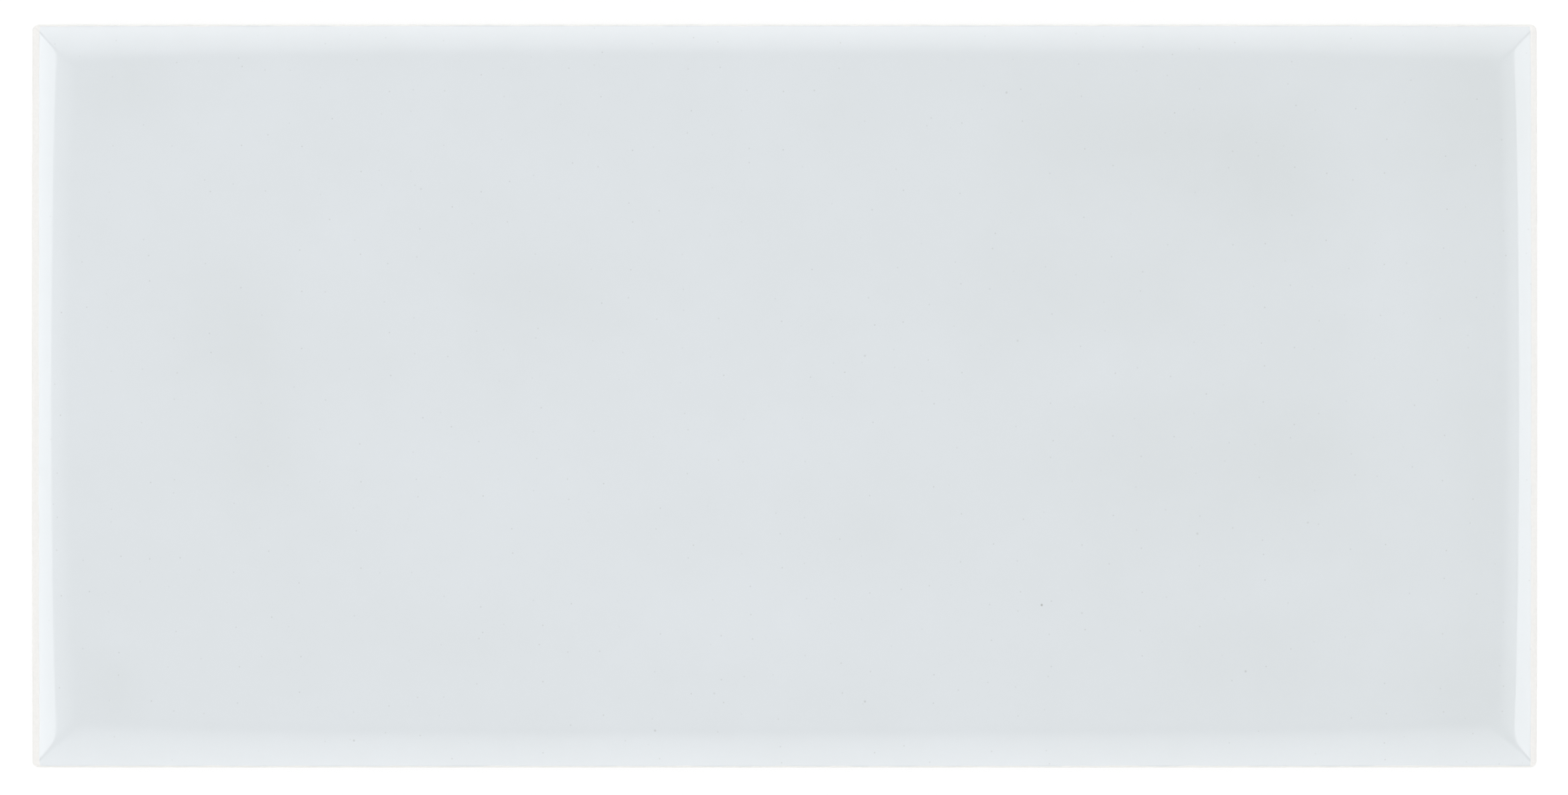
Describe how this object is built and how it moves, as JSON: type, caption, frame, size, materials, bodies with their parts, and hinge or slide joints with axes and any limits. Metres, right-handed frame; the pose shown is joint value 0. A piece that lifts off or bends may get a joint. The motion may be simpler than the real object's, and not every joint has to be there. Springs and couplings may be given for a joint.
{
  "type": "field tile",
  "caption": "Flat rectangular glazed ceramic field tile with rounded cushion edges, bare shoulders and a grooved back, bonded in courses to cover a wall.",
  "frame": {"origin": "middle of the tile's back, on the plane that it lies on", "axes": "+X along the tile's length, +Y across its width, +Z out of the glazed face"},
  "size_m": [0.1508, 0.0746, 0.008],
  "materials": {
    "glaze": "gloss"
  },
  "bodies": {
    "root": {"field_tile": "glaze"}
  },
  "joints": []
}
